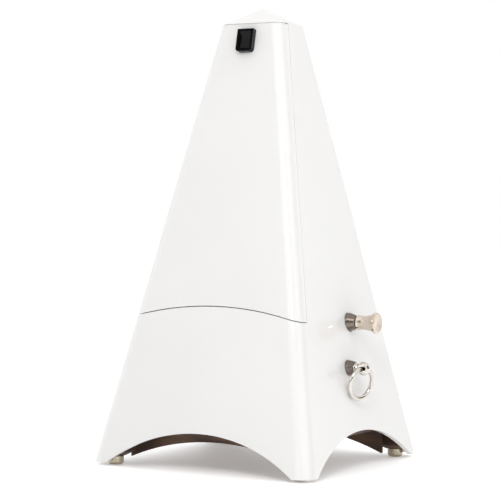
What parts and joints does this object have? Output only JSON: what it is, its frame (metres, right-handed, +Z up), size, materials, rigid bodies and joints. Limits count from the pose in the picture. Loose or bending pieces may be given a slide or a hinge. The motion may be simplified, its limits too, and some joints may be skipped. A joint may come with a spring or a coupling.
{
  "type": "pyramid metronome",
  "caption": "Wind-up pyramid metronome: white lacquered case on small feet, tilting front cover, ring key, pull knob, swinging pendulum with sliding weight and a bell.",
  "frame": {"origin": "on the floor under the middle of the case, level with the undersides of the feet", "axes": "+Z up, -Y towards the front cover, +X towards the side with the key and the knob"},
  "size_m": [0.1184, 0.1168, 0.2165],
  "materials": {
    "white_lacquer": "glossy white lacquered ABS",
    "black_plastic": "gloss black moulded",
    "spring_steel": "rolled spring steel",
    "dark_wood": "dark stained board",
    "bright_nickel": "polished nickel plate",
    "champagne_nickel": "champagne nickel plate",
    "dark_nickel": "dark nickel plate",
    "plate_steel": "brushed zinc-plated steel",
    "brass": "turned brass",
    "blued_steel": "hardened steel",
    "polished_steel": "polished steel strip",
    "lead": "cast lead",
    "weight_metal": "satin plated zinc",
    "board_black": "satin black moulded panel",
    "scale_metal": "satin champagne strip"
  },
  "bodies": {
    "case": {"case_shell": "white_lacquer", "corner_block_front_left": "dark_wood", "corner_block_front_right": "dark_wood", "corner_block_rear_left": "dark_wood", "corner_block_rear_right": "dark_wood", "foot_front_left": "bright_nickel", "foot_front_right": "bright_nickel", "foot_rear_left": "bright_nickel", "foot_rear_right": "bright_nickel", "bottom_tray": "dark_wood", "tray_screws": "blued_steel", "left_plate": "plate_steel", "right_plate": "plate_steel", "pillar_lower_front": "brass", "pillar_lower_rear": "brass", "pillar_upper_front": "brass", "pillar_upper_rear": "brass", "frame_screws": "blued_steel", "front_bridge": "plate_steel", "rear_bridge": "plate_steel", "key_bush": "dark_nickel", "selector_bush": "dark_nickel", "click_stud": "blued_steel", "scale_board": "board_black", "tempo_scale": "scale_metal", "rod_clip": "spring_steel", "bell": "brass", "bell_post": "blued_steel"},
    "cover": {"front_cover": "white_lacquer"},
    "latch": {"cover_latch": "black_plastic", "latch_plate": "spring_steel"},
    "key": {"winding_key": "bright_nickel", "ratchet_wheel": "blued_steel"},
    "ring": {"key_ring": "bright_nickel"},
    "pawl": {"click": "spring_steel"},
    "barrel": {"barrel_drum": "brass", "barrel_lid": "brass", "mainspring": "blued_steel", "great_wheel": "brass"},
    "middle_wheelwork": {"middle_arbor": "blued_steel", "middle_pinion": "blued_steel", "middle_wheel": "brass"},
    "escape_wheelwork": {"escape_arbor": "blued_steel", "escape_pinion": "blued_steel", "escape_wheel": "brass", "beat_cams": "brass"},
    "pendulum": {"pendulum_rod": "polished_steel", "pendulum_bob": "lead", "pendulum_arbor": "blued_steel", "pallets": "blued_steel"},
    "weight": {"tempo_weight": "weight_metal"},
    "selector": {"selector_rod": "blued_steel", "selector_knob": "champagne_nickel", "left_collar": "brass", "right_collar": "brass"},
    "hammer": {"hammer_lever": "blued_steel", "hammer_head": "brass"}
  },
  "joints": [
    {"name": "cover_tilt", "type": "hinge", "parent": "case", "child": "cover", "pos_m": [0, -0.0436, 0.0692], "axis": [1, 0, 0], "range_deg": [0, 60]},
    {"name": "latch_slide", "type": "slide", "parent": "cover", "child": "latch", "axis": [0, -0.2128, -0.9771], "range_m": [0, 0.003]},
    {"name": "key_turn", "type": "hinge", "parent": "case", "child": "key", "pos_m": [0, -0.0025, 0.047], "axis": [1, 0, 0], "continuous": true},
    {"name": "ring_swing", "type": "hinge", "parent": "key", "child": "ring", "pos_m": [0.05693, -0.0025, 0.047], "axis": [0, -1, 0], "range_deg": [0, 200]},
    {"name": "pawl_lift", "type": "hinge", "parent": "case", "child": "pawl", "pos_m": [0.0315, 0.0079, 0.056], "axis": [1, 0, 0], "range_deg": [0, 12]},
    {"name": "barrel_turn", "type": "hinge", "parent": "case", "child": "barrel", "pos_m": [0, -0.0025, 0.047], "axis": [1, 0, 0], "continuous": true},
    {"name": "middle_turn", "type": "hinge", "parent": "case", "child": "middle_wheelwork", "pos_m": [0, -0.01833, 0.0608], "axis": [1, 0, 0], "continuous": true},
    {"name": "escape_turn", "type": "hinge", "parent": "case", "child": "escape_wheelwork", "pos_m": [0, -0.01047, 0.07358], "axis": [1, 0, 0], "continuous": true},
    {"name": "pendulum_swing", "type": "hinge", "parent": "case", "child": "pendulum", "pos_m": [0, -0.03988, 0.0675], "axis": [0, 1, 0], "range_deg": [-8, 8]},
    {"name": "tempo_slide", "type": "slide", "parent": "pendulum", "child": "weight", "axis": [0, 0.2128, 0.9771], "range_m": [-0.04, 0.026]},
    {"name": "selector_pull", "type": "slide", "parent": "case", "child": "selector", "axis": [1, 0, 0], "range_m": [0, 0.012]},
    {"name": "hammer_rock", "type": "hinge", "parent": "selector", "child": "hammer", "pos_m": [0.01125, 0.006, 0.0678], "axis": [1, 0, 0], "range_deg": [0, 6]}
  ],
  "couplings": [
    {"joint": "middle_turn", "follows": "barrel_turn", "ratio": -6},
    {"joint": "escape_turn", "follows": "barrel_turn", "ratio": 24}
  ]
}
